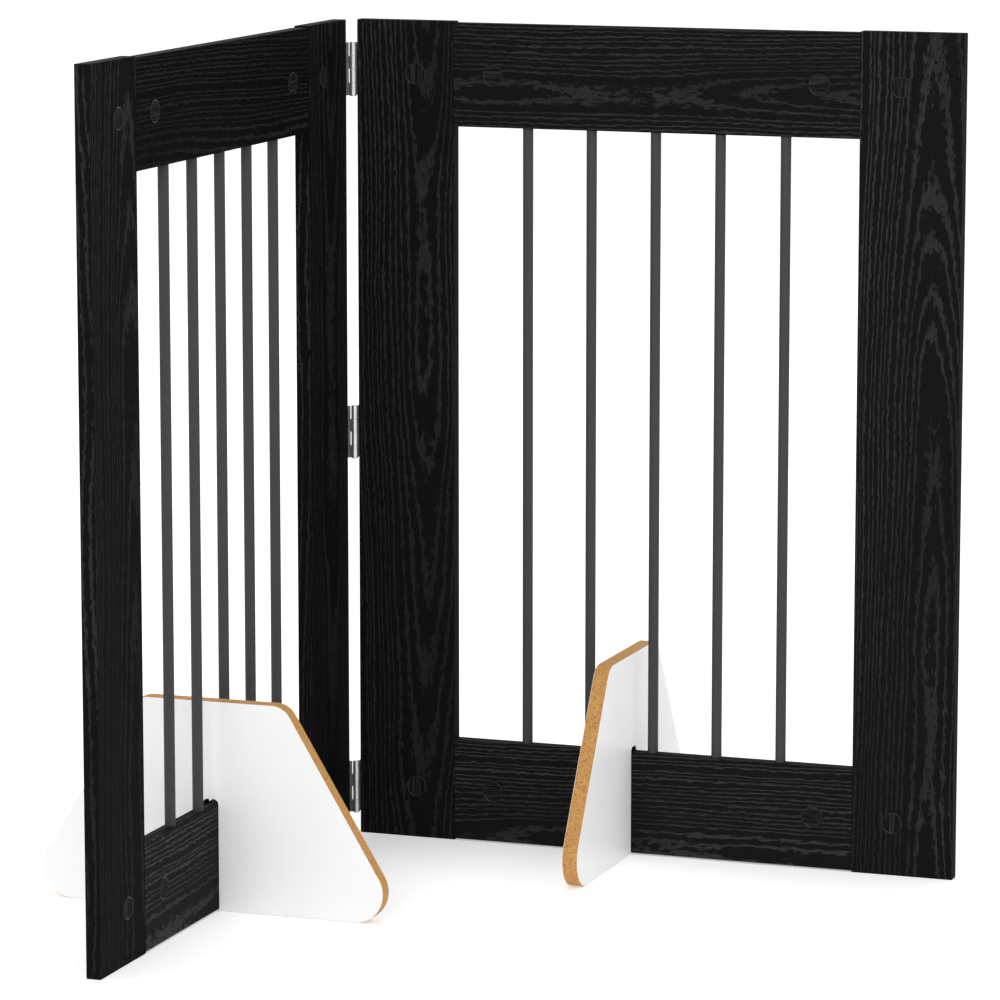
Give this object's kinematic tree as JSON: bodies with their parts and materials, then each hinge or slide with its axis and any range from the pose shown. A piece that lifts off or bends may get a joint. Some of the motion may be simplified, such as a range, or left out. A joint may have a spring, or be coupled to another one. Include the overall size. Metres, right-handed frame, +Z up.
{
  "type": "pet gate",
  "caption": "Free-standing folding pet gate: two hinged timber frames with upright round bars, each steadied by a slotted trapezoid foot dropped over its bottom rail.",
  "frame": {"origin": "on the floor, at the centre of the gate's box with the panels square", "axes": "+Z up; the right panel runs along +X from the hinges and the left panel along -Y, so the corner opens towards +X and -Y"},
  "size_m": [0.7844, 0.7844, 0.8],
  "materials": {
    "stained_timber": "black stain with open grain, satin",
    "bar_coating": "dark grey powder coat, semi-matt",
    "cover_plastic": "black moulded plastic, fine satin",
    "zinc_fittings": "zinc plated",
    "beech_dowel": "raw beech",
    "foot_board": "raw particle board edge",
    "foot_laminate": "white melamine, satin",
    "hinge_steel": "bright rolled steel"
  },
  "bodies": {
    "right_panel": {"bottom_hinge_pin": "hinge_steel", "bottom_hinge_right_leaf": "hinge_steel", "middle_hinge_pin": "hinge_steel", "middle_hinge_right_leaf": "hinge_steel", "right_bar_1": "bar_coating", "right_bar_2": "bar_coating", "right_bar_3": "bar_coating", "right_bar_4": "bar_coating", "right_bar_5": "bar_coating", "right_bottom_rail": "stained_timber", "right_cam_bolts": "zinc_fittings", "right_cam_covers": "cover_plastic", "right_cams": "zinc_fittings", "right_dowels": "beech_dowel", "right_hinge_screws": "hinge_steel", "right_hinge_stile": "stained_timber", "right_outer_stile": "stained_timber", "right_top_rail": "stained_timber", "top_hinge_pin": "hinge_steel", "top_hinge_right_leaf": "hinge_steel"},
    "left_panel": {"bottom_hinge_left_leaf": "hinge_steel", "left_bar_1": "bar_coating", "left_bar_2": "bar_coating", "left_bar_3": "bar_coating", "left_bar_4": "bar_coating", "left_bar_5": "bar_coating", "left_bottom_rail": "stained_timber", "left_cam_bolts": "zinc_fittings", "left_cam_covers": "cover_plastic", "left_cams": "zinc_fittings", "left_dowels": "beech_dowel", "left_hinge_screws": "hinge_steel", "left_hinge_stile": "stained_timber", "left_outer_stile": "stained_timber", "left_top_rail": "stained_timber", "middle_hinge_left_leaf": "hinge_steel", "top_hinge_left_leaf": "hinge_steel"},
    "right_foot": {"right_foot_core": "foot_board", "right_foot_laminate_a": "foot_laminate", "right_foot_laminate_b": "foot_laminate"},
    "left_foot": {"left_foot_core": "foot_board", "left_foot_laminate_a": "foot_laminate", "left_foot_laminate_b": "foot_laminate"}
  },
  "joints": [
    {"name": "panel_fold", "type": "hinge", "parent": "right_panel", "child": "left_panel", "pos_m": [-0.20966, 0.20966, 0.4], "axis": [0, 0, 1], "range_deg": [-90, 52]},
    {"name": "right_foot_lift", "type": "slide", "parent": "right_panel", "child": "right_foot", "axis": [0, 0, 1], "range_m": [0, 0.11]},
    {"name": "left_foot_lift", "type": "slide", "parent": "left_panel", "child": "left_foot", "axis": [0, 0, 1], "range_m": [0, 0.11]}
  ]
}
